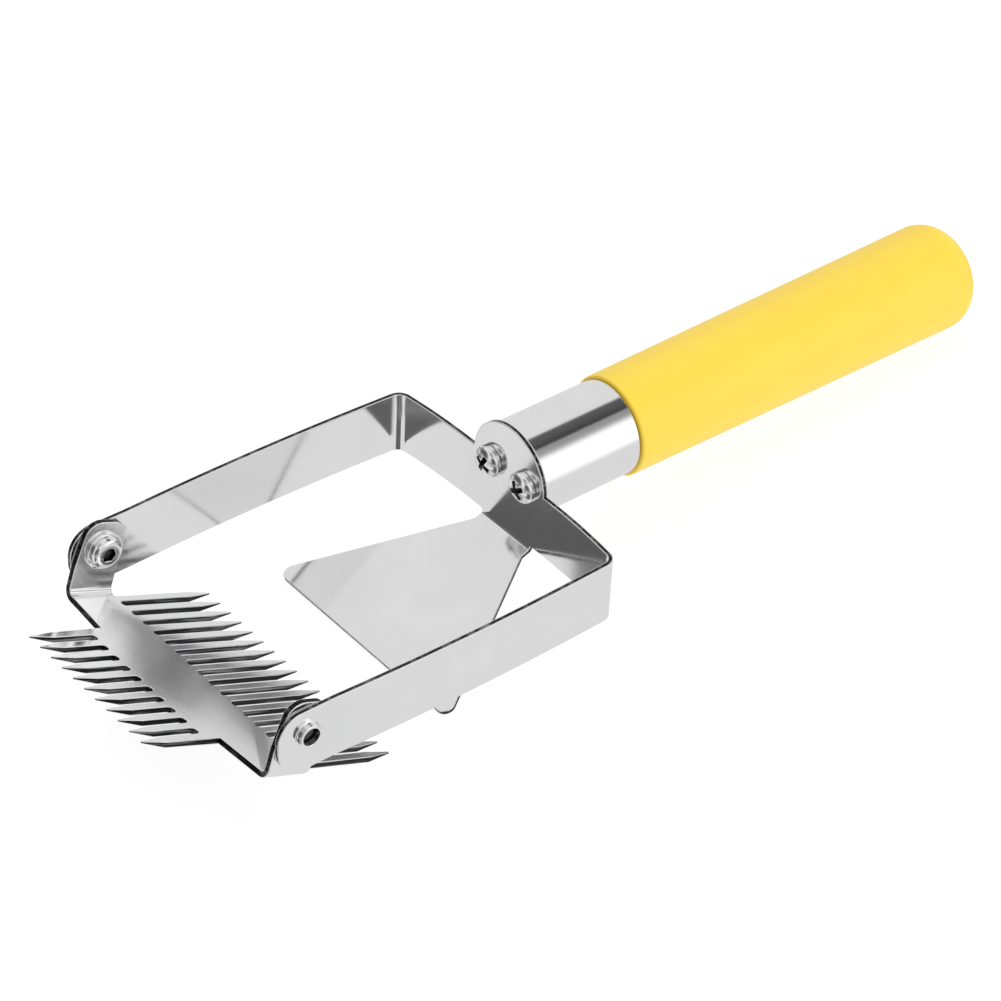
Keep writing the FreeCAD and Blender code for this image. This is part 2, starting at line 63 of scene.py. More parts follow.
# sheet frame
SHEET = 1.5
STRIP_TOP = 0.5
STRIP_BOTTOM = -20.0
WALL_FLAT_HALF = 18.0
WALL_CORNER_X = -2.3
CORNER_HALF = 50.1
BOW_X = -50.0
BOW_HALF = 51.5
STRAIGHT_X = -101.8
ARM_HALF = 50.5
ARM_FRONT = -121.0
CORNER_RADIUS = 4.5
ARM_TOP_RADIUS = 8.0
ARM_BOTTOM_RADIUS = 10.0
EAR_RADIUS = 16.0
NECK_HALF = 11.0
NECK_LENGTH = 2.5
NECK_FILLET = 0.8
BLADE_DROP = math.radians(19.3)
BLADE_BEND = 0.6
BLADE_START = -21.0
BLADE_LENGTH = 54.8
BLADE_LEFT = 43.2
BLADE_RIGHT = -39.9
BLADE_CORNER = 3.0

# pivot
PIVOT = np.array([-111.2, 0.0, -7.5])
COLLAR_RADIUS = 3.75
COLLAR_HEIGHT = 1.9
THREAD_ROOT = 2.45
THREAD_DEPTH = 0.28
THREAD_PITCH = 0.75
SHANK_END = 50.9
SHANK_RADIUS = 2.98
WASHER_INNER = 46.05
WASHER_RADIUS = 6.0
WASHER_BORE = 3.2
WASHER_THICKNESS = 0.8
BUTTON_RADIUS = 5.15
BUTTON_HEIGHT = 2.4
BUTTON_RIM = 0.5
BUTTON_FLAT = 3.0
HEX_HALF = 2.0
HEX_DEPTH = 1.8
# the socket's rings: depth below the head's top, and size as a share of the hexagon's
SOCKET_RINGS = ((0.0, 1.08), (0.14, 1.0), (HEX_DEPTH, 0.99), (HEX_DEPTH + 0.3, 0.5), (HEX_DEPTH + 0.45, 0.01))

# fork plate, about the pivot: U back along the rear tines, V to the left, N up
FORK_TILT = math.radians(22.6)
PLATE = 2.0
PLATE_TOP = -14.4
TINE_PITCH = 5.4
TINE_WIDTH = 2.64
REAR_TINES = 17
FRONT_TINES = 11
REAR_ROOT = 7.7
REAR_TIP = 42.7
FRONT_ROOT = -13.1
FRONT_TIP = -34.9
WEB_FRONT = -8.4
BEND_FRONT = -6.7
BEND_REAR = 8.2
LUG_FRONT = -8.1
LUG_REAR = 5.8
LUG_TOP = 9.0
LUG_WAIST = -6.0
LUG_CORNER = 5.0
LUG_BEND = 2.0
LUG_OUTER = 48.9
LUG_WAIST_RADIUS = 3.0
LUG_FOOT_RADIUS = 0.5
LUG_REAR_SHARE = 0.15
REAR_LAND = 1.5
WEB_CORNER = 0.3
POINT_LENGTH = 8.0
POINT_SIZE = 0.45

# handle
HANDLE_SCREW_Y = 7.75
PAN_RADIUS = 5.0
PAN_HEIGHT = 3.8
PAN_RIM = 1.2
PAN_SEAT = -1.56
PAN_DOME = math.radians(50)
CROSS_HALF = 2.9
CROSS_WIDE = 0.8
CROSS_DEPTH = 2.4
CROSS_BREAK = 1.06
CROSS_TURN = {"left": 24.0, "right": 58.0}
TAPPING_RADIUS = 2.38
TAPPING_TIP = 23.44
TAPPING_POINT = 5.0
FERRULE_RADIUS = 15.0
FERRULE_WALL = 1.0
FERRULE_START = 0.5
FERRULE_END = 36.2
FERRULE_EDGE = 0.35
GRIP_START = 36.5
GRIP_FRONT = 16.0
GRIP_LIP = 0.9
GRIP_REAR = 17.2
GRIP_END = 175.7
BUTT_RADIUS = 9.0
GRIP_BORE = 12.5
GRIP_BORE_END = 163.0

SIDES = {"left": 1.0, "right": -1.0}
SHARP = math.radians(32)
POLE = 0.01
ROUND_STEPS = 96
FERRULE_STEPS = 256
GRIP_STEPS = 224
FLAT_ROWS = 5
BEND_SHARES = np.linspace(0, 1, 9)

# camera and studio; the floor and the lamps are in metres and watts
CAMERA_PLACE = np.array([-563.8, -651.9, 658.6])
SENSOR_WIDTH = 36.0
FLOOR_HALF = 6.0
FLOOR_DROP = 0.0002
FLOOR_GLOW = 0.86
LAMP_AIM = Vector((0.06, 0.0, 0.03))
LAMPS = (("side_lamp", Vector((0.35, -0.9, 0.5)), 0.6, 3.0), ("top_lamp", Vector((0.1, 0.25, 1.0)), 0.8, 3.4))
WORLD_LEVEL = 0.76
# each patch: direction, inner and outer half angle in degrees, light inside it as a share of the white
WORLD_PATCHES = (
    ((-0.77, 0.60, 0.20), 18, 33, 0.15),
    ((-0.77, -0.60, 0.20), 18, 33, 0.15),
    ((-0.58, -0.60, -0.55), 18, 24, 0.16),
    ((-0.42, 0.70, -0.58), 5, 7, 0.25),
    ((0.60, -0.15, 0.785), 13, 14, 0.11),
    ((0.60, -0.42, 0.68), 2, 17, 0.40),
    ((0.53, -0.82, 0.15), 12, 30, 1.7),
    ((-0.45, -0.20, 0.87), 4, 27, 0.40),
    ((-0.25, 0.95, 0.20), 9, 22, 0.35),
    ((0.93, 0.10, -0.35), 12, 26, 0.40),
)


# ---------------------------------------------------------------- placing

def turn_y(angle):
    """The matrix that turns a point about Y."""
    c = math.cos(angle)
    s = math.sin(angle)
    return np.array([[c, 0, s], [0, 1, 0], [-s, 0, c]])


def to_row(points):
    """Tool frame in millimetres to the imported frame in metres: turned about Y, then shifted."""
    return (points @ turn_y(REST_TILT).T + REST_BASE) * MM


def handle_to_row(points):
    """As to_row, for a piece of the handle, which rises a little about the ear."""
    return to_row(points @ turn_y(-HANDLE_LIFT).T)


def fork_to_row(points):
    """As to_row, for a point given as U, V, N about the pivot: turned by the fork's tilt."""
    return to_row(points @ turn_y(FORK_TILT).T + PIVOT)


# ---------------------------------------------------------------- meshes

def grid_faces(rows, columns, wrap_rows=False):
    """Quads of a grid whose columns always close on themselves."""
    row = np.arange(rows if wrap_rows else rows - 1)[:, None]
    column = np.arange(columns)[None, :]
    next_row = (row + 1) % rows
    next_column = (column + 1) % columns
    corners = [row * columns + column, row * columns + next_column,
               next_row * columns + next_column, next_row * columns + column]
    return np.stack([np.broadcast_to(c, (len(row), columns)) for c in corners], axis=-1).reshape(-1, 4)


def signed_volume(points, faces):
    """Six times the volume inside, by each face's fan of triangles; below zero if they face inwards."""
    total = 0.0
    for face in faces:
        fan = points[list(face)]
        total += np.sum(np.cross(fan[1:-1], fan[2:]) @ fan[0])
    return total


def paint_faces(piece, second):
    """The piece's second material on the faces that are marked, and its first on the rest."""
    piece.data.polygons.foreach_set("material_index", np.asarray(second).astype(int))


def mesh_object(name, points, faces, materials, body):
    """A closed surface as an object at the origin: faces turned outwards, smooth but for sharp edges."""
    faces = [tuple(int(i) for i in face) for face in faces]
    if signed_volume(points, faces) < 0:
        faces = [face[::-1] for face in faces]
    mesh = bpy.data.meshes.new(name)
    mesh.from_pydata(points.tolist(), [], faces)
    return finish_piece(name, mesh, materials, body)


def finish_piece(name, mesh, materials, body):
    """A mesh as an object on its body, with its shading and materials."""
    mesh.validate()
    mesh.shade_smooth()
    mesh.set_sharp_from_angle(angle=SHARP)
    for material in materials:
        mesh.materials.append(material)
    piece = bpy.data.objects.new(name, mesh)
    bpy.context.scene.collection.objects.link(piece)
    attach(piece, body)
    return piece


def rounded_corners(points, radii, steps=6):
    """A closed 2-D outline with its corners rounded.

    Each corner is replaced by an arc that touches both of its edges: the arc starts and
    ends at radius / tan(half the corner's angle) from the corner.
    """
    points = np.asarray(points, float)
    outline = []
    for index, (corner, radius) in enumerate(zip(points, radii)):
        if radius <= 0:
            outline.append(corner[None, :])
            continue
        back = points[index - 1] - corner
        ahead = points[(index + 1) % len(points)] - corner
        back /= np.linalg.norm(back)
        ahead /= np.linalg.norm(ahead)
        half = math.acos(np.clip(back @ ahead, -1, 1)) / 2
        middle = (back + ahead) / np.linalg.norm(back + ahead)
        centre = corner + middle * radius / math.sin(half)
        start = corner + back * radius / math.tan(half) - centre
        end = corner + ahead * radius / math.tan(half) - centre
        first = math.atan2(start[1], start[0])
        sweep = (math.atan2(end[1], end[0]) - first + math.pi) % (2 * math.pi) - math.pi
        angles = first + sweep * np.linspace(0, 1, steps + 1)
        outline.append(centre + radius * np.stack([np.cos(angles), np.sin(angles)], axis=1))
    return np.concatenate(outline)


def sheet_blank(outline, thickness, edge):
    """A flat sheet with rounded edges: rings that follow the outline, and a face on each side.

    A ring's inset and depth run round a quarter circle of radius edge at the top, straight
    down the side, and round another at the bottom. A narrow ring beside each quarter circle
    keeps the flat faces' shading flat. Returns points (a, b, depth), faces, and for each
    face a 1 if it is the straight side that the punch cut, else a 0.
    """
    if np.sum(outline[:, 0] * np.roll(outline[:, 1], -1) - outline[:, 1] * np.roll(outline[:, 0], -1)) < 0:
        outline = outline[::-1]
    before = outline - np.roll(outline, 1, axis=0)
    after = np.roll(outline, -1, axis=0) - outline
    before /= np.linalg.norm(before, axis=1)[:, None]
    after /= np.linalg.norm(after, axis=1)[:, None]
    normal_before = np.stack([-before[:, 1], before[:, 0]], axis=1)
    normal_after = np.stack([-after[:, 1], after[:, 0]], axis=1)
    share = 1 + np.sum(normal_before * normal_after, axis=1)
    inwards = (normal_before + normal_after) / np.maximum(share, 0.5)[:, None]

    support = 0.03
    angle = np.linspace(0, math.pi / 2, 5)
    inset = np.concatenate([[edge + support], edge * (1 - np.sin(angle)), [0.0]])
    depth = np.concatenate([[0.0], edge * (1 - np.cos(angle)), [edge + support]])
    inset = np.concatenate([inset, inset[::-1]])
    depth = np.concatenate([depth, thickness - depth[::-1]])
    rings = outline[None, :, :] + inset[:, None, None] * inwards[None, :, :]
    levels = np.broadcast_to(depth[:, None, None], rings.shape[:2] + (1,))
    points = np.concatenate([rings, levels], axis=2).reshape(-1, 3)
    count = len(outline)
    faces = [tuple(face) for face in grid_faces(len(inset), count)]
    ring = np.repeat(np.arange(len(inset) - 1), count)
    cut = (ring == len(inset) // 2 - 1).astype(int)
    faces.append(tuple(range(count))[::-1])
    faces.append(tuple(range((len(inset) - 1) * count, len(inset) * count)))
    return points, faces, np.append(cut, [0, 0])


def folded_sheet(name, outline, thickness, edge, cuts, fold, materials, body):
    """A flat blank, divided along its bend lines and carried to its folded shape.

    cuts are (axis, position) pairs, the lines across which the blank has to bend, and fold
    takes an array of blank points (a, b, depth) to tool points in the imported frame.
    """
    points, faces, cut = sheet_blank(outline, thickness, edge)
    mesh = bpy.data.meshes.new(name)
    mesh.from_pydata(points.tolist(), [], [tuple(int(i) for i in face) for face in faces])
    mesh.polygons.foreach_set("material_index", cut)
    work = bmesh.new()
    work.from_mesh(mesh)
    bmesh.ops.triangulate(work, faces=[face for face in work.faces if len(face.verts) > 4],
                          ngon_method="EAR_CLIP")
    for axis, position in cuts:
        direction = Vector((1, 0, 0)) if axis == 0 else Vector((0, 1, 0))
        bmesh.ops.bisect_plane(work, geom=work.verts[:] + work.edges[:] + work.faces[:], dist=1e-5,
                               plane_co=direction * position, plane_no=direction)
    work.to_mesh(mesh)
    work.free()
    flat = np.zeros(len(mesh.vertices) * 3, np.float32)
    mesh.vertices.foreach_get("co", flat)
    folded = fold(flat.reshape(-1, 3).astype(float))
    mesh.vertices.foreach_set("co", folded.astype(np.float32).ravel())
    mesh.update()
    faces = [tuple(polygon.vertices) for polygon in mesh.polygons]
    if signed_volume(folded, faces) < 0:
        mesh.flip_normals()
    return finish_piece(name, mesh, materials, body)


def turned(profile, segments):
    """A profile of (along, radius) rows spun about X: point = (along, radius cos t, radius sin t)."""
    along = profile[:, 0][:, None]
    radius = profile[:, 1][:, None]
    angle = np.linspace(0, 2 * math.pi, segments, endpoint=False)[None, :]
    return np.stack([along + 0 * angle, radius * np.cos(angle), radius * np.sin(angle)], axis=-1)


def capped(grid):
    """Points and faces of a grid of rings, closed with one flat face over each end ring."""
    rows, columns = grid.shape[:2]
    faces = [tuple(face) for face in grid_faces(rows, columns)]
    faces.append(tuple(range(columns))[::-1])
    faces.append(tuple(range((rows - 1) * columns, rows * columns)))
    return grid.reshape(-1, 3), faces


def ring_shaped(grid):
    """Points and faces of a grid of rings whose last ring joins its first, as on a washer."""
    rows, columns = grid.shape[:2]
    return grid.reshape(-1, 3), list(grid_faces(rows, columns, wrap_rows=True))


def along_y(points, side):
    """A piece drawn along X from the middle outwards, put on the left (+Y) or right (-Y) pivot."""
    placed = np.stack([points[..., 1], points[..., 0] * side, points[..., 2]], axis=-1)
    return placed + PIVOT


def corner_arc(centre, radius, first, last, steps=6):
    """Profile points round an arc; angles in degrees from +along towards +radius."""
    angle = np.radians(np.linspace(first, last, steps + 1))
    return np.stack([centre[0] + radius * np.cos(angle), centre[1] + radius * np.sin(angle)], axis=1)


# ---------------------------------------------------------------- frame sheet

def circle_through(a, b, c):
    """Centre of the circle through three plan points."""
    matrix = 2 * np.array([b - a, c - a])
    return np.linalg.solve(matrix, np.array([b @ b - a @ a, c @ c - a @ a]))


def arc_points(start, middle, end, count):
    """Points on the arc through three plan points, and the direction from its centre to each."""
    centre = circle_through(start, middle, end)
    radius = np.linalg.norm(start - centre)
    first = math.atan2(*(start - centre)[::-1])
    last = math.atan2(*(end - centre)[::-1])
    sweep = (last - first + math.pi) % (2 * math.pi) - math.pi
    angle = first + sweep * np.linspace(0, 1, count)
    outwards = np.stack([np.cos(angle), np.sin(angle)], axis=1)
    return centre + radius * outwards, outwards


def frame_path():
    """The left half of the strip's outer face in plan, as a table over its own length.

    It runs flat across the wall, curves forward to the corner, turns the corner on a
    4.5 mm arc, follows the arm's bow and ends straight. The corner's centre is where the
    two curves, each moved inwards by the radius, cross. Both curves are worked out finely
    to find it, and only every few of their points are kept.
    """
    fine = 2400
    near_corner = fine // 6
    keep_wall = 8
    keep_arm = 24
    wing_y = (WALL_FLAT_HALF + CORNER_HALF) / 2
    corner = np.array([WALL_CORNER_X, CORNER_HALF])
    wall, wall_in = arc_points(np.array([0.0, WALL_FLAT_HALF]), np.array([WALL_CORNER_X / 4, wing_y]),
                               corner, fine // 3 + 1)
    wall_in *= np.sign(-wall_in[:, :1])
    arm, arm_in = arc_points(corner, np.array([BOW_X, BOW_HALF]), np.array([STRAIGHT_X, ARM_HALF]), fine + 1)
    arm_in *= np.sign(-arm_in[:, 1:])
    moved_wall = wall + wall_in * CORNER_RADIUS
    moved_arm = arm + arm_in * CORNER_RADIUS
    gap = np.linalg.norm(moved_wall[:, None, :] - moved_arm[None, :near_corner, :], axis=2)
    wall_stop, arm_start = np.unravel_index(np.argmin(gap), gap.shape)
    centre = (moved_wall[wall_stop] + moved_arm[arm_start]) / 2
    first = math.atan2(*(-wall_in[wall_stop])[::-1])
    last = math.atan2(*(-arm_in[arm_start])[::-1])
    angle = np.linspace(first, last, 25)
    outwards = np.stack([np.cos(angle), np.sin(angle)], axis=1)
    flat = np.stack([np.zeros(FLAT_ROWS), np.linspace(0, WALL_FLAT_HALF, FLAT_ROWS)], axis=1)
    points = np.concatenate([flat, wall[1:wall_stop:keep_wall], centre + CORNER_RADIUS * outwards,
                             arm[arm_start + 1::keep_arm], arm[-1:], [[ARM_FRONT, ARM_HALF]]])
    inwards = np.concatenate([np.tile([-1.0, 0.0], (FLAT_ROWS, 1)), wall_in[1:wall_stop:keep_wall], -outwards,
                              arm_in[arm_start + 1::keep_arm], [[0.0, -1.0], [0.0, -1.0]]])
    steps = np.linalg.norm(np.diff(points, axis=0), axis=1)
    length = np.concatenate([[0.0], np.cumsum(steps)])
    heading = np.unwrap(np.arctan2(inwards[:, 1], inwards[:, 0]) % (2 * math.pi))
    return length, points, heading


def frame_outline(half_length, bend_length):
    """The frame's flat blank: the long strip, the ear above it, and the neck and blade below.

    The first coordinate is length along the strip, the second is height; below the start of
    the neck's bend, height goes on along the bend and the blade.
    """
    start = math.asin(STRIP_TOP / EAR_RADIUS)
    angle = np.linspace(start, math.pi - start, 49)
    ear = EAR_RADIUS * np.stack([np.cos(angle), np.sin(angle)], axis=1)
    neck = BLADE_START - bend_length - NECK_LENGTH
    front = BLADE_START - bend_length - BLADE_LENGTH
    left = rounded_corners(
        [(EAR_RADIUS + 1, STRIP_BOTTOM), (EAR_RADIUS + 1, STRIP_TOP), (half_length, STRIP_TOP),
         (half_length, STRIP_BOTTOM), (EAR_RADIUS + 2, STRIP_BOTTOM)],
        [0, 0, ARM_TOP_RADIUS, ARM_BOTTOM_RADIUS, 0], steps=14)[2:-1]
    right = left[::-1] * [-1, 1]
    blade = rounded_corners(
        [(0, STRIP_BOTTOM + 1), (EAR_RADIUS + 2, STRIP_BOTTOM), (NECK_HALF, STRIP_BOTTOM), (NECK_HALF, neck),
         (BLADE_LEFT, front), (BLADE_RIGHT, front), (-NECK_HALF, neck), (-NECK_HALF, STRIP_BOTTOM),
         (-EAR_RADIUS - 2, STRIP_BOTTOM)],
        [0, 0, NECK_FILLET, NECK_FILLET, BLADE_CORNER, BLADE_CORNER, NECK_FILLET, NECK_FILLET, 0],
        steps=8)[2:-1]
    return np.concatenate([ear[::-1], left, blade, right])


def frame_fold(length, points, heading, bend_length):
    """The map from blank to tool: along the plan path, and below the strip round the neck's bend.

    On the strip, a point stands on the path's outer face and goes inwards by its depth. On
    the bend it turns about a line inside the outer face, by length over the bend's outer
    radius, and on the blade it goes on straight, 19.3 degrees below level.
    """
    outer = BLADE_BEND + SHEET
    turn = math.pi / 2 - BLADE_DROP

    def fold(blank):
        along, height, depth = blank.T
        reach = np.abs(along)
        side = np.where(along < 0, -1.0, 1.0)
        angle = np.interp(reach, length, heading)
        x = np.interp(reach, length, points[:, 0]) + np.cos(angle) * depth
        y = side * (np.interp(reach, length, points[:, 1]) + np.sin(angle) * depth)
        strip = np.stack([x, y, height], axis=1)
        below = BLADE_START - height
        bend = np.clip(below / outer, 0, turn)
        beyond = np.maximum(below - bend_length, 0)
        radius = outer - depth
        neck = np.stack([-outer + radius * np.cos(bend) - beyond * math.sin(turn), along,
                         BLADE_START - radius * np.sin(bend) - beyond * math.cos(turn)], axis=1)
        return to_row(np.where(below[:, None] > 0, neck, strip))
    return fold


def build_frame_sheet(edge, materials):
    """The frame: its blank cut where it bends, and folded."""
    length, points, heading = frame_path()
    bend_length = (BLADE_BEND + SHEET) * (math.pi / 2 - BLADE_DROP)
    outline = frame_outline(length[-1], bend_length)
    cuts = [(0, side * station) for station in length[FLAT_ROWS:-1] for side in (-1, 1)]
    cuts += [(1, BLADE_START - share * bend_length) for share in BEND_SHARES]
    fold = frame_fold(length, points, heading, bend_length)
    return folded_sheet("frame_sheet", outline, SHEET, edge, cuts, fold, materials, "frame")


def build_collar(name, side, materials):
    """The drawn collar with its thread.

    Outside it is a turned ring with a rounded foot and rim. In the bore the radius is the
    thread's root plus a triangle wave of axial distance less one pitch for each turn round.
    """
    foot = 0.5
    rim = 0.45
    lip = 0.25
    start = ARM_HALF - 0.4
    end = ARM_HALF + COLLAR_HEIGHT
    outside = np.concatenate([[[start, COLLAR_RADIUS + foot], [ARM_HALF - 0.02, COLLAR_RADIUS + foot]],
                              corner_arc((ARM_HALF + foot, COLLAR_RADIUS + foot), foot, 180, 270, 5),
                              corner_arc((end - rim, COLLAR_RADIUS - rim), rim, 90, 0, 6),
                              corner_arc((end - lip, THREAD_ROOT + 2 * lip), lip, 0, -90, 4)])
    outer = turned(outside, ROUND_STEPS)
    thread_rows = 44
    depth = np.linspace(end - 0.3, SHANK_END - 0.15, thread_rows)[:, None]
    angle = np.linspace(0, 2 * math.pi, ROUND_STEPS, endpoint=False)[None, :]
    phase = (depth / THREAD_PITCH - angle / (2 * math.pi)) % 1.0
    radius = THREAD_ROOT + THREAD_DEPTH * (1 - np.abs(2 * phase - 1))
    bore = np.stack([depth + 0 * angle, radius * np.cos(angle), radius * np.sin(angle)], axis=-1)
    back = turned(np.array([[start, THREAD_ROOT]]), ROUND_STEPS)
    vertices, faces = ring_shaped(along_y(np.concatenate([outer, bore, back]), side))
    piece = mesh_object(name, to_row(vertices), faces, materials, "frame")
    # painted shade: the inner lip, the threaded bore and the back ring take the dark second material
    inside_lip = (len(outside) - 3) * ROUND_STEPS
    paint_faces(piece, np.arange(len(faces)) >= inside_lip)
    return piece


# ---------------------------------------------------------------- fork sheet

def comb(count, root, tip):
    """One row of tines from left to right: pointed ends, and round slot roots between them."""
    out = math.copysign(1, tip - root)
    half = TINE_WIDTH / 2
    slot_half = (TINE_PITCH - TINE_WIDTH) / 2
    shoulder = tip - out * POINT_LENGTH
    angle = np.linspace(0, math.pi, 9)
    rows = []
    for index in range(count):
        middle = TINE_PITCH * ((count - 1) / 2 - index)
        rows.append([(shoulder, middle + half), (tip, middle + POINT_SIZE / 2),
                     (tip, middle - POINT_SIZE / 2), (shoulder, middle - half)])
        if index < count - 1:
            slot = middle - TINE_PITCH / 2
            rows.append(np.stack([root + out * slot_half * (1 - np.sin(angle)),
                                  slot + slot_half * np.cos(angle)], axis=1))
    return np.concatenate(rows)


def fork_outline(bend_v, bend_length):
    """The fork's flat blank: two combs on one web, and a lug beyond the bend at each end."""
    rear = comb(REAR_TINES, REAR_ROOT, REAR_TIP)
    front = comb(FRONT_TINES, FRONT_ROOT, FRONT_TIP)
    rear_v = TINE_PITCH * (REAR_TINES - 1) / 2 + TINE_WIDTH / 2
    front_v = TINE_PITCH * (FRONT_TINES - 1) / 2 + TINE_WIDTH / 2
    foot = bend_v + bend_length
    top = foot + LUG_TOP - PLATE_TOP - LUG_BEND
    waist = foot + LUG_WAIST - PLATE_TOP - LUG_BEND
    foot_rear = BEND_REAR + (LUG_REAR - BEND_REAR) * LUG_REAR_SHARE
    foot_front = (BEND_FRONT + LUG_FRONT) / 2
    lug = rounded_corners(
        [(REAR_ROOT + REAR_LAND, rear_v), (BEND_REAR, bend_v), (foot_rear, foot), (LUG_REAR, top),
         (LUG_FRONT, top), (LUG_FRONT, waist), (foot_front, foot), (BEND_FRONT, bend_v),
         (WEB_FRONT, front_v)],
        [0, 0, 0, LUG_CORNER, LUG_CORNER, LUG_WAIST_RADIUS, LUG_FOOT_RADIUS, LUG_FOOT_RADIUS, WEB_CORNER],
        steps=8)
    return np.concatenate([rear, lug * [1, -1], front[::-1], lug[::-1]])


def fork_fold(bend_v, bend_length):
    """The map from blank to tool: flat web and tines, thinned towards the points, lugs folded up.

    Depth is below the top face. Past the bend line a point turns about a line 2 mm above
    the top face by length over 2, up to a right angle, and then goes straight up.
    """
    def fold(blank):
        u, v, depth = blank.T
        rear = (u - (REAR_TIP - POINT_LENGTH)) / POINT_LENGTH
        front = ((FRONT_TIP + POINT_LENGTH) - u) / POINT_LENGTH
        ground = np.clip(np.maximum(rear, front), 0, 1)
        depth = depth * (1 - ground * (1 - POINT_SIZE / PLATE))
        side = np.sign(v)
        beyond = np.maximum(np.abs(v) - bend_v, 0)
        angle = np.clip(beyond / LUG_BEND, 0, math.pi / 2)
        rise = np.maximum(beyond - bend_length, 0)
        radius = LUG_BEND + depth
        y = side * (np.minimum(np.abs(v), bend_v) + radius * np.sin(angle))
        n = PLATE_TOP + LUG_BEND - radius * np.cos(angle) + rise
        return fork_to_row(np.stack([u, y, n], axis=1))
    return fold


def build_fork_sheet(edge, materials):
    """The fork plate: its blank cut where it bends or thins, and folded."""
    bend_v = LUG_OUTER - PLATE - LUG_BEND
    bend_length = LUG_BEND * math.pi / 2
    cuts = [(1, side * (bend_v + share * bend_length)) for share in BEND_SHARES for side in (-1, 1)]
    cuts += [(0, REAR_TIP - POINT_LENGTH), (0, FRONT_TIP + POINT_LENGTH)]
    return folded_sheet("fork_sheet", fork_outline(bend_v, bend_length), PLATE, edge, cuts,
                        fork_fold(bend_v, bend_length), materials, "fork")


# ---------------------------------------------------------------- screws and washers

def build_washer(name, side, materials):
    """A flat ring, turned from a section with four rounded corners."""
    edge = 0.22
    near = WASHER_INNER + edge
    far = WASHER_INNER + WASHER_THICKNESS - edge
    corners = ((near, WASHER_RADIUS - edge, 180), (far, WASHER_RADIUS - edge, 90),
               (far, WASHER_BORE + edge, 0), (near, WASHER_BORE + edge, 270))
    profile = np.concatenate([corner_arc((x, radius), edge, first, first - 90, 5)
                              for x, radius, first in corners])
    vertices, faces = ring_shaped(along_y(turned(profile, ROUND_STEPS), side))
    return mesh_object(name, to_row(vertices), faces, materials, "frame")


def build_pivot_screw(name, side, materials):
    """A low button head with a hexagon socket, and its shank.

    The socket's rings have radius = half across flats / cos(angle from the nearest flat),
    so they are hexagons; the dome is an arc from the rim to the flat.
    """
    chamfer = 0.4
    bevel = 0.15
    seat = WASHER_INNER - 0.02
    top = seat - BUTTON_HEIGHT
    angle = np.linspace(0, 2 * math.pi, ROUND_STEPS, endpoint=False)
    hexagon = HEX_HALF / np.cos((angle + math.pi / 12) % (math.pi / 3) - math.pi / 6)
    sweep = np.linspace(0, math.pi / 2, 13)
    dome = np.stack([seat - BUTTON_RIM - (BUTTON_HEIGHT - BUTTON_RIM) * np.sin(sweep),
                     BUTTON_FLAT + (BUTTON_RADIUS - BUTTON_FLAT) * np.cos(sweep)], axis=1)
    shank = [[SHANK_END, POLE], [SHANK_END, SHANK_RADIUS - chamfer], [SHANK_END - chamfer, SHANK_RADIUS],
             [seat, SHANK_RADIUS], [seat, BUTTON_RADIUS - bevel], [seat - bevel, BUTTON_RADIUS]]
    solid = np.concatenate([shank, dome, [[top, BUTTON_FLAT - 0.06]]])
    rings = [turned(solid, ROUND_STEPS)]
    for depth, size in SOCKET_RINGS:
        rings.append(np.stack([np.full(ROUND_STEPS, top + depth), size * hexagon * np.cos(angle),
                               size * hexagon * np.sin(angle)], axis=-1)[None])
    vertices, faces = capped(along_y(np.concatenate(rings), side))
    piece = mesh_object(name, to_row(vertices), faces, materials, "frame")
    # painted shade: the shank's end and the hexagon socket take the dark second material
    row = np.arange(len(faces)) // ROUND_STEPS
    shank_end_rows = 3
    paint_faces(piece, (row < shank_end_rows) | (row > len(solid)))
    return piece


def cross_radius(angle):
    """Distance from the centre to a cross's edge: an arm's end near its axis, else its side."""
    folded = np.abs((angle + math.pi / 4) % (math.pi / 2) - math.pi / 4)
    end = CROSS_HALF / np.cos(folded)
    side = CROSS_WIDE / np.maximum(np.sin(folded), 1e-6)
    return np.minimum(end, side)


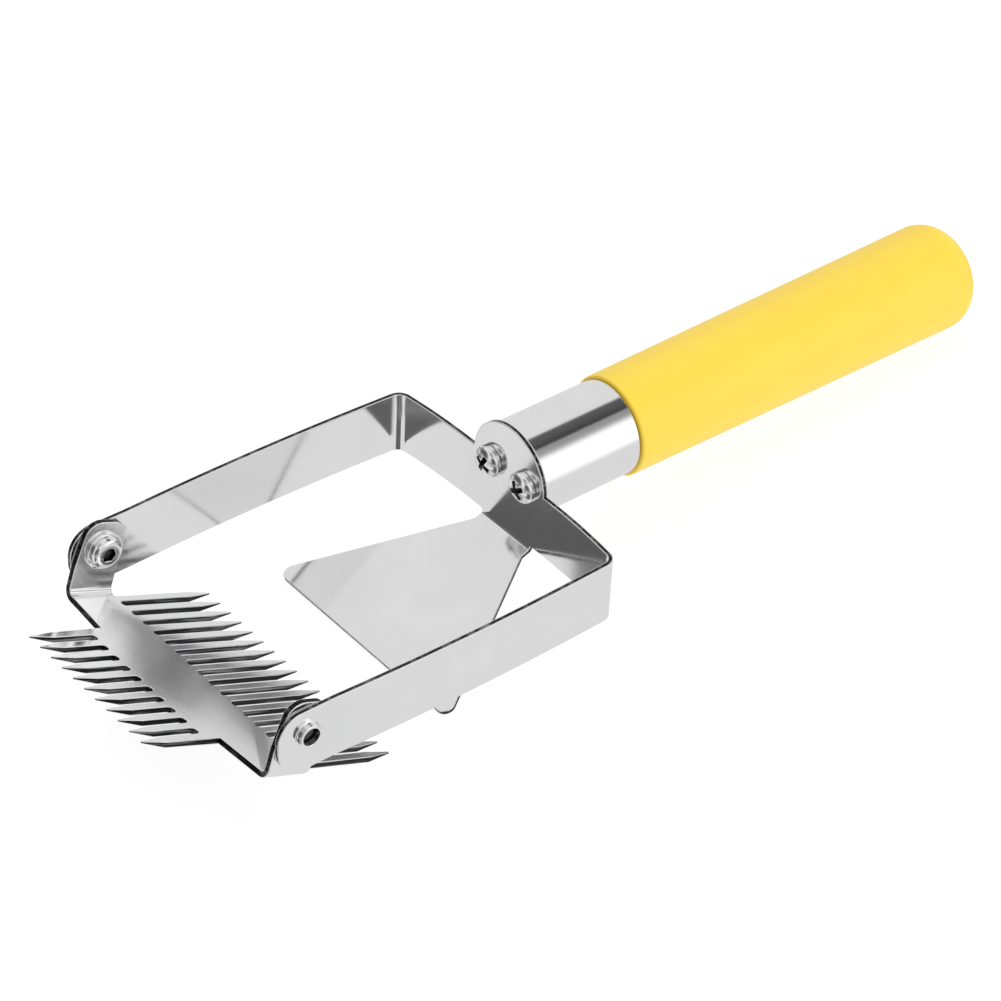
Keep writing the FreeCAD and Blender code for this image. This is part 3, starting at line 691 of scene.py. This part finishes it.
def build_pan_screw(name, side, materials):
    """A domed pan head with a cross recess, and the plain shank behind it.

    The dome's height is PAN_HEIGHT at the middle and falls as an ellipse to the rim. The
    recess narrows from the cross on the dome to a smaller one at its bottom.
    """
    corner = math.atan2(CROSS_WIDE, CROSS_HALF)
    quarter = np.concatenate([np.linspace(-math.pi / 4, -corner, 10, endpoint=False),
                              np.linspace(-corner, corner, 8, endpoint=False),
                              np.linspace(corner, math.pi / 4, 10, endpoint=False)])
    angle = np.concatenate([quarter + step * math.pi / 2 for step in range(4)])
    turn = angle + math.radians(CROSS_TURN[name])
    rim = 0.2

    def dome(radius):
        height = np.sqrt(np.clip(1 - (radius / PAN_RADIUS) ** 2, 0, 1))
        return PAN_SEAT - PAN_RIM - (PAN_HEIGHT - PAN_RIM) * height

    def ring(along, radius):
        along, radius = np.broadcast_arrays(along, radius)
        return np.stack([along + 0 * angle, side * HANDLE_SCREW_Y + radius * np.cos(turn),
                         radius * np.sin(turn)], axis=-1)

    rings = [ring(TAPPING_TIP, POLE), ring(TAPPING_TIP - TAPPING_POINT, TAPPING_RADIUS),
             ring(PAN_SEAT, TAPPING_RADIUS), ring(PAN_SEAT, PAN_RADIUS - rim),
             ring(PAN_SEAT - rim, PAN_RADIUS)]
    for share in np.linspace(0, 1, 12):
        radius = PAN_RADIUS * math.cos(share * PAN_DOME)
        rings.append(ring(dome(radius), radius))
    edge = cross_radius(angle)
    inner = PAN_RADIUS * math.cos(PAN_DOME)
    for share in (0.5, 0.85, 1.0):
        radius = inner + (edge * CROSS_BREAK - inner) * share
        rings.append(ring(dome(radius), radius))
    top = PAN_SEAT - PAN_HEIGHT
    recess = [ring(dome(edge) + 0.08, edge), ring(top + 1.2, edge * 0.8), ring(top + CROSS_DEPTH, edge * 0.4),
              ring(top + CROSS_DEPTH + 0.3, POLE)]
    vertices, faces = capped(np.stack(rings + recess))
    piece = mesh_object("handle_screw_" + name + "_head", handle_to_row(vertices), faces, materials,
                        "frame")
    # painted shade: the cross recess takes the dark second material
    paint_faces(piece, np.arange(len(faces)) >= len(rings) * len(angle))
    return piece


# ---------------------------------------------------------------- handle

def build_ferrule(materials):
    """The tube, turned from its wall's section, with small rounds on its two outer corners."""
    inner = FERRULE_RADIUS - FERRULE_WALL
    edge = FERRULE_EDGE
    support = 0.05
    profile = np.concatenate([corner_arc((FERRULE_START + edge, FERRULE_RADIUS - edge), edge, 180, 90, 6),
                              [[FERRULE_START + edge + support, FERRULE_RADIUS],
                               [FERRULE_END - edge - support, FERRULE_RADIUS]],
                              corner_arc((FERRULE_END - edge, FERRULE_RADIUS - edge), edge, 90, 0, 6),
                              [[FERRULE_END, inner], [FERRULE_START, inner]]])
    vertices, faces = ring_shaped(turned(profile, FERRULE_STEPS))
    return mesh_object("ferrule_tube", handle_to_row(vertices), faces, materials, "frame")


def build_grip(materials):
    """The sleeve, turned from its wall's section: rounded lip, straight taper, rounded butt."""
    lip = GRIP_LIP
    butt_ring = 4.0
    round_x = GRIP_END - BUTT_RADIUS
    taper = np.linspace(0, 1, 60)[1:-1]
    body = np.stack([GRIP_START + lip + taper * (round_x - GRIP_START - lip),
                     GRIP_FRONT + taper * (GRIP_REAR - GRIP_FRONT)], axis=1)
    profile = np.concatenate([[[GRIP_START, GRIP_BORE]],
                              corner_arc((GRIP_START + lip, GRIP_FRONT - lip), lip, 180, 90, 8), body,
                              corner_arc((round_x, GRIP_REAR - BUTT_RADIUS), BUTT_RADIUS, 90, 0, 24),
                              [[GRIP_END, butt_ring], [GRIP_END, POLE]]])
    inside = np.array([[GRIP_BORE_END, POLE], [GRIP_BORE_END, GRIP_BORE]])
    vertices, faces = ring_shaped(turned(np.concatenate([profile, inside]), GRIP_STEPS))
    return mesh_object("grip_sleeve", handle_to_row(vertices), faces, materials, "frame")


# ---------------------------------------------------------------- shader helpers

def new_group(name, inputs, outputs):
    """An empty shader node group with named sockets."""
    group = bpy.data.node_groups.new(name, "ShaderNodeTree")
    for label, kind, default in inputs:
        socket = group.interface.new_socket(name=label, in_out="INPUT", socket_type=kind)
        socket.default_value = default
    for label, kind in outputs:
        group.interface.new_socket(name=label, in_out="OUTPUT", socket_type=kind)
    return group, group.nodes.new("NodeGroupInput"), group.nodes.new("NodeGroupOutput")


def feed(tree, target, inputs):
    """A node's inputs: a socket is linked to its input, and any other value is set on it."""
    for key, value in inputs.items():
        if isinstance(value, bpy.types.NodeSocket):
            tree.links.new(value, target.inputs[key])
        else:
            target.inputs[key].default_value = value


def node(tree, kind, inputs=None, **settings):
    """One node, with settings as its attributes."""
    made = tree.nodes.new(kind)
    for key, value in settings.items():
        setattr(made, key, value)
    feed(tree, made, inputs or {})
    return made


def object_place(tree):
    """Where a point is on the tool, in metres."""
    return node(tree, "ShaderNodeTexCoord").outputs["Object"]


def mix_color(tree, factor, first, second):
    """The first colour where the factor is 0, the second where it is 1."""
    return node(tree, "ShaderNodeMix", {0: factor, 6: first, 7: second}, data_type="RGBA").outputs[2]


def maths(tree, operation, *values):
    """One calculation on two or three values."""
    return node(tree, "ShaderNodeMath", dict(enumerate(values)), operation=operation).outputs[0]


def noise(tree, place, scale, detail, roughness=0.5):
    """Cloudy noise from 0 to 1."""
    return node(tree, "ShaderNodeTexNoise", {"Vector": place, "Scale": scale, "Detail": detail,
                                             "Roughness": roughness}).outputs["Fac"]


def ranged(tree, value, low, high, first, last):
    """A value's span from low to high stretched to run from first to last, and held beyond it."""
    return node(tree, "ShaderNodeMapRange", {"Value": value, "From Min": low, "From Max": high,
                                             "To Min": first, "To Max": last}).outputs["Result"]


def relief(tree, height, strength, distance):
    """Fine relief: the surface's normal, tipped by the slope of the height."""
    return node(tree, "ShaderNodeBump", {"Height": height, "Strength": strength,
                                         "Distance": distance}).outputs["Normal"]


def polish_group():
    """Even polish broken up: faint clouds of haze, and fine lines along one direction.

    Roughness is the given one plus Spread times (lines times haze, less a quarter). The
    colour is up to an eighth darker where there is least haze.
    """
    group, source, sink = new_group(
        "polish_lines",
        [("Vector", "NodeSocketVector", (0, 0, 0)), ("Across", "NodeSocketVector", (1, 1, 1)),
         ("Line Scale", "NodeSocketFloat", 900.0), ("Haze Scale", "NodeSocketFloat", 45.0),
         ("Color", "NodeSocketColor", (0.7, 0.7, 0.7, 1)), ("Roughness", "NodeSocketFloat", 0.08),
         ("Spread", "NodeSocketFloat", 0.04)],
        [("Color", "NodeSocketColor"), ("Roughness", "NodeSocketFloat"), ("Height", "NodeSocketFloat")])
    given = source.outputs
    stretch = node(group, "ShaderNodeVectorMath", {0: given["Vector"], 1: given["Across"]},
                   operation="MULTIPLY")
    lines = noise(group, stretch.outputs[0], given["Line Scale"], 3.0, 0.6)
    haze = noise(group, given["Vector"], given["Haze Scale"], 4.0)
    uneven = maths(group, "SUBTRACT", maths(group, "MULTIPLY", lines, haze), 0.25)
    rough = maths(group, "MULTIPLY_ADD", uneven, given["Spread"], given["Roughness"])
    clamp = node(group, "ShaderNodeClamp", {"Value": rough, "Min": 0.01, "Max": 1.0})
    dull = mix_color(group, 0.88, (0, 0, 0, 1), given["Color"])
    feed(group, sink, {"Color": mix_color(group, haze, dull, given["Color"]), "Roughness": clamp.outputs[0],
                       "Height": lines})


def painted_edge_highlight_group():
    """Painted highlight on sharp edges: a mask from how sharply the surface turns mixes in the highlight
    colour, standing in for the reflections of rounded edges.
    """
    group, source, sink = new_group(
        "painted_edge_highlight",
        [("Color", "NodeSocketColor", (0.7, 0.7, 0.7, 1)), ("Highlight Color", "NodeSocketColor", (1, 1, 1, 1)),
         ("Amount", "NodeSocketFloat", 0.6)],
        [("Color", "NodeSocketColor"), ("Mask", "NodeSocketFloat")])
    given = source.outputs
    turn = node(group, "ShaderNodeNewGeometry").outputs["Pointiness"]
    mask = maths(group, "MULTIPLY", ranged(group, turn, 0.51, 0.58, 0.0, 1.0), given["Amount"])
    feed(group, sink, {"Color": mix_color(group, mask, given["Color"], given["Highlight Color"]), "Mask": mask})


def new_material(name):
    """A material's node tree and its shader."""
    material = bpy.data.materials.new(name)
    material.use_nodes = True
    return material.node_tree, material.node_tree.nodes["Principled BSDF"]


def steel(name, color, roughness, spread, across, line_scale, bump, edge_highlight):
    """Polished steel: metal with fine lines, haze and a painted highlight on its edges."""
    tree, shader = new_material(name)
    polish = node(tree, "ShaderNodeGroup",
                  {"Vector": object_place(tree), "Across": across, "Line Scale": line_scale,
                   "Color": (*color, 1), "Roughness": roughness, "Spread": spread},
                  node_tree=bpy.data.node_groups["polish_lines"]).outputs
    shine = node(tree, "ShaderNodeGroup",
                 {"Color": polish["Color"], "Highlight Color": (0.93, 0.93, 0.94, 1), "Amount": edge_highlight},
                 node_tree=bpy.data.node_groups["painted_edge_highlight"]).outputs
    feed(tree, shader, {"Base Color": shine["Color"], "Roughness": polish["Roughness"], "Metallic": 1.0,
                        "Normal": relief(tree, polish["Height"], bump, 0.0002)})


def torn_edge(name, deep, light, tilt, grain):
    """A punched sheet's edge: dark torn steel, streaked with bright where the punch rubbed it.

    The grain is the size in metres of a streak along, across and through the sheet, and the
    pattern is turned about Y by the sheet's tilt.
    """
    tree, shader = new_material(name)
    stretch = node(tree, "ShaderNodeMapping", {"Vector": object_place(tree), "Rotation": (0, tilt, 0),
                                               "Scale": grain}, vector_type="TEXTURE")
    streaks = noise(tree, stretch.outputs["Vector"], 1.0, 4.0, 0.65)
    bright = ranged(tree, streaks, 0.50, 0.78, 0.0, 1.0)
    feed(tree, shader, {"Base Color": mix_color(tree, bright, (*deep, 1), (*light, 1)),
                        "Roughness": ranged(tree, streaks, 0.3, 0.7, 0.5, 0.2), "Metallic": 1.0,
                        "Normal": relief(tree, streaks, 0.4, 0.0001)})


def plastic(name, color, roughness):
    """Smooth satin moulding: faint mottling of colour, fine grain in the gloss, and specks."""
    tree, shader = new_material(name)
    place = object_place(tree)
    mottle = noise(tree, place, 60.0, 3.0)
    grain = noise(tree, place, 1600.0, 2.0)
    specks = node(tree, "ShaderNodeTexVoronoi", {"Vector": place, "Scale": 55.0}).outputs["Distance"]
    deep = (color[0] * 0.97, color[1] * 0.93, color[2] * 0.85, 1)
    tone = mix_color(tree, mottle, deep, (*color, 1))
    tone = mix_color(tree, ranged(tree, specks, 0.012, 0.03, 0.35, 0.0), tone, (0.30, 0.20, 0.05, 1))
    feed(tree, shader, {"Base Color": tone, "Normal": relief(tree, grain, 0.05, 0.0001),
                        "Roughness": ranged(tree, grain, 0.0, 1.0, roughness - 0.04, roughness + 0.06)})


def wood(name, color):
    """Plain turned wood with growth rings that wander a little."""
    tree, shader = new_material(name)
    stretch = node(tree, "ShaderNodeMapping", {"Vector": object_place(tree), "Scale": (4, 60, 60)})
    place = stretch.outputs["Vector"]
    rings = node(tree, "ShaderNodeTexWave", {"Vector": place, "Scale": 5.0, "Distortion": 4.0, "Detail": 3.0},
                 wave_type="RINGS", rings_direction="X").outputs["Fac"]
    late = (color[0] * 0.6, color[1] * 0.5, color[2] * 0.4, 1)
    feed(tree, shader, {"Base Color": mix_color(tree, rings, (*color, 1), late),
                        "Roughness": ranged(tree, noise(tree, place, 30.0, 4.0), 0.0, 1.0, 0.55, 0.8)})


# ---------------------------------------------------------------- settings

class ForkSheetSettings(bpy.types.PropertyGroup):
    """Sizes and finish of the polished sheet parts."""

    frame_edge: bpy.props.FloatProperty(
        name="Frame edge", description="Rounding of the frame sheet's cut edges", default=0.00022,
        min=0.00005, max=0.0006, unit="LENGTH")
    fork_edge: bpy.props.FloatProperty(
        name="Fork edge", description="Rounding of the fork plate's cut edges", default=0.0002,
        min=0.00005, max=0.0002, unit="LENGTH")
    steel_color: bpy.props.FloatVectorProperty(
        name="Sheet colour", description="Reflection colour of the polished sheet",
        default=(0.97, 0.97, 0.972), min=0.0, max=1.0, subtype="COLOR")
    roughness: bpy.props.FloatProperty(
        name="Sheet roughness", description="Blur of the polished sheet's reflections", default=0.11,
        min=0.0, max=1.0, subtype="FACTOR")


class ForkHandleSettings(bpy.types.PropertyGroup):
    """Colours and finish of the handle."""

    grip_color: bpy.props.FloatVectorProperty(
        name="Grip colour", description="Colour of the plastic grip", default=(1.0, 0.72, 0.075),
        min=0.0, max=1.0, subtype="COLOR")
    grip_roughness: bpy.props.FloatProperty(
        name="Grip roughness", description="Blur of the grip's shine", default=0.42,
        min=0.0, max=1.0, subtype="FACTOR")
    ferrule_color: bpy.props.FloatVectorProperty(
        name="Ferrule colour", description="Reflection colour of the ferrule tube",
        default=(0.97, 0.97, 0.972), min=0.0, max=1.0, subtype="COLOR")
    screw_color: bpy.props.FloatVectorProperty(
        name="Screw colour", description="Reflection colour of the screws", default=(0.96, 0.96, 0.965),
        min=0.0, max=1.0, subtype="COLOR")
    wood_color: bpy.props.FloatVectorProperty(
        name="Core colour", description="Colour of the wooden core", default=(0.55, 0.36, 0.19),
        min=0.0, max=1.0, subtype="COLOR")


class ForkStageSettings(bpy.types.PropertyGroup):
    """Camera and studio."""

    azimuth: bpy.props.FloatProperty(
        name="Azimuth", description="Camera's angle round the tool", default=math.radians(-40.655),
        subtype="ANGLE")
    elevation: bpy.props.FloatProperty(
        name="Elevation", description="Camera's angle above the handle's level", default=math.radians(37.846),
        subtype="ANGLE")
    roll: bpy.props.FloatProperty(
        name="Roll", description="Camera's turn about its own line of sight", default=math.radians(2.968),
        subtype="ANGLE")
    lens: bpy.props.FloatProperty(
        name="Lens", description="Focal length on a 36 mm sensor", default=134.25, min=20.0, max=400.0,
        subtype="DISTANCE_CAMERA")
    floor_color: bpy.props.FloatVectorProperty(
        name="Floor colour", description="Colour of the floor", default=(0.22, 0.22, 0.22), min=0.0, max=1.0,
        subtype="COLOR")


# ---------------------------------------------------------------- operators

class FORK_OT_materials(bpy.types.Operator):
    """Make the steel, plastic and wood"""

    bl_idname = "fork.materials"
    bl_label = "Materials"

    def execute(self, context):
        sheet = context.scene.fork_sheet
        handle = context.scene.fork_handle
        polish_group()
        painted_edge_highlight_group()
        steel("polished sheet", sheet.steel_color, sheet.roughness, spread=0.05, across=(0.04, 0.04, 1.0),
              line_scale=2600.0, bump=0.02, edge_highlight=0.5)
        steel("polished fork plate", sheet.steel_color, sheet.roughness + 0.03, spread=0.10,
              across=(1.0, 0.05, 1.0), line_scale=2200.0, bump=0.03, edge_highlight=0.6)
        torn_edge("punched frame edge", deep=(0.03, 0.03, 0.032), light=(0.40, 0.40, 0.405), tilt=REST_TILT,
                  grain=(0.0025, 0.0025, 0.001))
        torn_edge("punched tine edge", deep=(0.015, 0.015, 0.017), light=(0.42, 0.42, 0.425),
                  tilt=REST_TILT + FORK_TILT, grain=(0.02, 0.004, 0.0009))
        # painted shade: near-black steel on the collars' bores, the screws' sockets and cross recesses and
        # the pivot shank's end, where shade falls
        steel("painted recess shade", (0.10, 0.10, 0.105), 0.25, spread=0.2, across=(1.0, 0.1, 1.0),
              line_scale=1500.0, bump=0.2, edge_highlight=0.0)
        steel("ferrule tube", handle.ferrule_color, 0.13, spread=0.12, across=(1.0, 0.02, 0.02),
              line_scale=3000.0, bump=0.06, edge_highlight=0.0)
        steel("bright screw", handle.screw_color, 0.10, spread=0.08, across=(1.0, 1.0, 1.0),
              line_scale=900.0, bump=0.02, edge_highlight=0.4)
        plastic("satin grip plastic", handle.grip_color, handle.grip_roughness)
        wood("turned core wood", handle.wood_color)
        return {"FINISHED"}


class FORK_OT_frame_sheet(bpy.types.Operator):
    """Fold the frame from one sheet, with its two threaded collars"""

    bl_idname = "fork.frame_sheet"
    bl_label = "Frame"

    def execute(self, context):
        material = bpy.data.materials["polished sheet"]
        piece = build_frame_sheet(context.scene.fork_sheet.frame_edge / MM,
                                  [material, bpy.data.materials["punched frame edge"]])
        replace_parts(piece, "frame_bracket")
        for name, side in SIDES.items():
            build_collar("pivot_collar_" + name, side, [material, bpy.data.materials["painted recess shade"]])
        return {"FINISHED"}


class FORK_OT_fork_sheet(bpy.types.Operator):
    """Fold the fork plate with its tines and lugs"""

    bl_idname = "fork.fork_sheet"
    bl_label = "Fork plate"

    def execute(self, context):
        piece = build_fork_sheet(context.scene.fork_sheet.fork_edge / MM,
                                 [bpy.data.materials["polished fork plate"],
                                  bpy.data.materials["punched tine edge"]])
        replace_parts(piece, "fork_plate")
        return {"FINISHED"}


class FORK_OT_pivot_hardware(bpy.types.Operator):
    """Make the pivot screws and their washers"""

    bl_idname = "fork.pivot_hardware"
    bl_label = "Pivot screws"

    def execute(self, context):
        material = bpy.data.materials["bright screw"]
        for name, side in SIDES.items():
            screw = build_pivot_screw("pivot_screw_" + name + "_head", side,
                                      [material, bpy.data.materials["painted recess shade"]])
            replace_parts(screw, "pivot_screw_" + name)
            washer = build_washer("pivot_washer_" + name + "_ring", side, [material])
            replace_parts(washer, "pivot_washer_" + name)
        return {"FINISHED"}


class FORK_OT_handle_screws(bpy.types.Operator):
    """Make the two cross-recessed handle screws"""

    bl_idname = "fork.handle_screws"
    bl_label = "Handle screws"

    def execute(self, context):
        for name, side in SIDES.items():
            screw = build_pan_screw(name, side, [bpy.data.materials["bright screw"],
                                                 bpy.data.materials["painted recess shade"]])
            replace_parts(screw, "handle_screw_" + name)
        return {"FINISHED"}


class FORK_OT_handle(bpy.types.Operator):
    """Make the ferrule and the grip, and finish the wooden core"""

    bl_idname = "fork.handle"
    bl_label = "Handle"

    def execute(self, context):
        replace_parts(build_ferrule([bpy.data.materials["ferrule tube"]]), "ferrule")
        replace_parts(build_grip([bpy.data.materials["satin grip plastic"]]), "grip")
        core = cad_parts["handle_core"]
        for slot in core.material_slots:
            slot.material = bpy.data.materials["turned core wood"]
        return {"FINISHED"}


def world_light(tree):
    """White all round, with a few darker or brighter patches that the polished faces pick up.

    A patch multiplies the light by a share that fades smoothly from its inner to its outer
    angle. The camera itself sees plain white.
    """
    tree.nodes.clear()
    direction = node(tree, "ShaderNodeTexCoord").outputs["Generated"]
    light = WORLD_LEVEL
    for centre, inner, outer, share in WORLD_PATCHES:
        toward = node(tree, "ShaderNodeVectorMath", {0: direction, 1: centre}, operation="DOT_PRODUCT")
        patch = node(tree, "ShaderNodeMapRange",
                     {"Value": toward.outputs["Value"], "From Min": math.cos(math.radians(outer)),
                      "From Max": math.cos(math.radians(inner)), "To Min": 1.0, "To Max": share},
                     interpolation_type="SMOOTHSTEP")
        light = maths(tree, "MULTIPLY", light, patch.outputs["Result"])
    seen = node(tree, "ShaderNodeLightPath").outputs["Is Camera Ray"]
    strength = node(tree, "ShaderNodeMix", {0: seen, 2: light, 3: 1.0}, data_type="FLOAT").outputs[0]
    background = node(tree, "ShaderNodeBackground", {"Color": (1, 1, 1, 1), "Strength": strength})
    node(tree, "ShaderNodeOutputWorld", {"Surface": background.outputs[0]})


class FORK_OT_stage(bpy.types.Operator):
    """Set up the floor, the light and the camera"""

    bl_idname = "fork.stage"
    bl_label = "Studio"

    def execute(self, context):
        stage = context.scene.fork_stage
        tree, shader = new_material("floor paint")
        feed(tree, shader, {"Base Color": (*stage.floor_color, 1), "Roughness": 0.9,
                            "Specular IOR Level": 0.1, "Emission Color": (1, 1, 1, 1),
                            "Emission Strength": FLOOR_GLOW})
        mesh = bpy.data.meshes.new("floor")
        corners = ((-FLOOR_HALF, -FLOOR_HALF), (FLOOR_HALF, -FLOOR_HALF), (FLOOR_HALF, FLOOR_HALF),
                   (-FLOOR_HALF, FLOOR_HALF))
        mesh.from_pydata([(x, y, -FLOOR_DROP) for x, y in corners], [], [(0, 1, 2, 3)])
        mesh.materials.append(bpy.data.materials["floor paint"])
        floor = bpy.data.objects.new("floor", mesh)
        context.scene.collection.objects.link(floor)
        floor.visible_glossy = False

        world = context.scene.world or bpy.data.worlds.new("studio")
        context.scene.world = world
        world.use_nodes = True
        world_light(world.node_tree)
        context.scene.view_settings.view_transform = "Standard"
        context.scene.view_settings.look = "None"

        for name, place, size, power in LAMPS:
            self.add_lamp(context, name, place, size, power)
        self.add_camera(context, stage)
        return {"FINISHED"}

    def add_lamp(self, context, name, place, size, power):
        """A soft square lamp aimed at the tool; the steel mirrors the white room instead of it."""
        data = bpy.data.lights.new(name, "AREA")
        data.energy = power
        data.size = size
        lamp = bpy.data.objects.new(name, data)
        context.scene.collection.objects.link(lamp)
        lamp.visible_glossy = False
        aim = (LAMP_AIM - place).to_track_quat("-Z", "Y")
        lamp.matrix_world = Matrix.Translation(place) @ aim.to_matrix().to_4x4()

    def add_camera(self, context, stage):
        """The camera's right, up and back directions from its three angles, turned as the tool rests."""
        a = stage.azimuth
        e = stage.elevation
        right = np.array([math.cos(a), math.sin(a), 0.0])
        back = np.array([math.sin(a) * math.cos(e), -math.cos(a) * math.cos(e), math.sin(e)])
        up = np.cross(back, right)
        rolled_right = right * math.cos(stage.roll) + up * math.sin(stage.roll)
        rolled_up = up * math.cos(stage.roll) - right * math.sin(stage.roll)
        rest = turn_y(REST_TILT)
        columns = [Vector(rest @ v) for v in (rolled_right, rolled_up, back)]
        place = Vector(to_row(CAMERA_PLACE[None, :])[0])
        data = bpy.data.cameras.new("camera")
        data.lens = stage.lens
        data.sensor_width = SENSOR_WIDTH
        data.clip_start = 0.01
        camera = bpy.data.objects.new("camera", data)
        context.scene.collection.objects.link(camera)
        matrix = Matrix((columns[0], columns[1], columns[2])).transposed().to_4x4()
        camera.matrix_world = Matrix.Translation(place) @ matrix
        context.scene.camera = camera


class FORK_PT_sidebar(bpy.types.Panel):
    """The fork's pieces and settings"""

    bl_idname = "FORK_PT_sidebar"
    bl_label = "Uncapping Fork"
    bl_space_type = "VIEW_3D"
    bl_region_type = "UI"
    bl_category = "Fork"

    def draw(self, context):
        layout = self.layout
        for settings in (context.scene.fork_sheet, context.scene.fork_handle, context.scene.fork_stage):
            box = layout.box()
            for name in settings.__annotations__:
                box.prop(settings, name)
        for operator in OPERATORS:
            layout.operator(operator.bl_idname)


OPERATORS = (FORK_OT_materials, FORK_OT_frame_sheet, FORK_OT_fork_sheet, FORK_OT_pivot_hardware,
             FORK_OT_handle_screws, FORK_OT_handle, FORK_OT_stage)
CLASSES = (ForkSheetSettings, ForkHandleSettings, ForkStageSettings, *OPERATORS, FORK_PT_sidebar)


def register():
    """Add the classes, and the settings on the scene."""
    for cls in CLASSES:
        bpy.utils.register_class(cls)
    bpy.types.Scene.fork_sheet = bpy.props.PointerProperty(type=ForkSheetSettings)
    bpy.types.Scene.fork_handle = bpy.props.PointerProperty(type=ForkHandleSettings)
    bpy.types.Scene.fork_stage = bpy.props.PointerProperty(type=ForkStageSettings)


def unregister():
    """Take the settings and the classes away again."""
    del bpy.types.Scene.fork_stage
    del bpy.types.Scene.fork_handle
    del bpy.types.Scene.fork_sheet
    for cls in reversed(CLASSES):
        bpy.utils.unregister_class(cls)


def main():
    """Build everything in order."""
    register()
    bpy.ops.fork.materials()
    bpy.ops.fork.frame_sheet()
    bpy.ops.fork.fork_sheet()
    bpy.ops.fork.pivot_hardware()
    bpy.ops.fork.handle_screws()
    bpy.ops.fork.handle()
    bpy.ops.fork.stage()


if __name__ == "__main__":
    main()
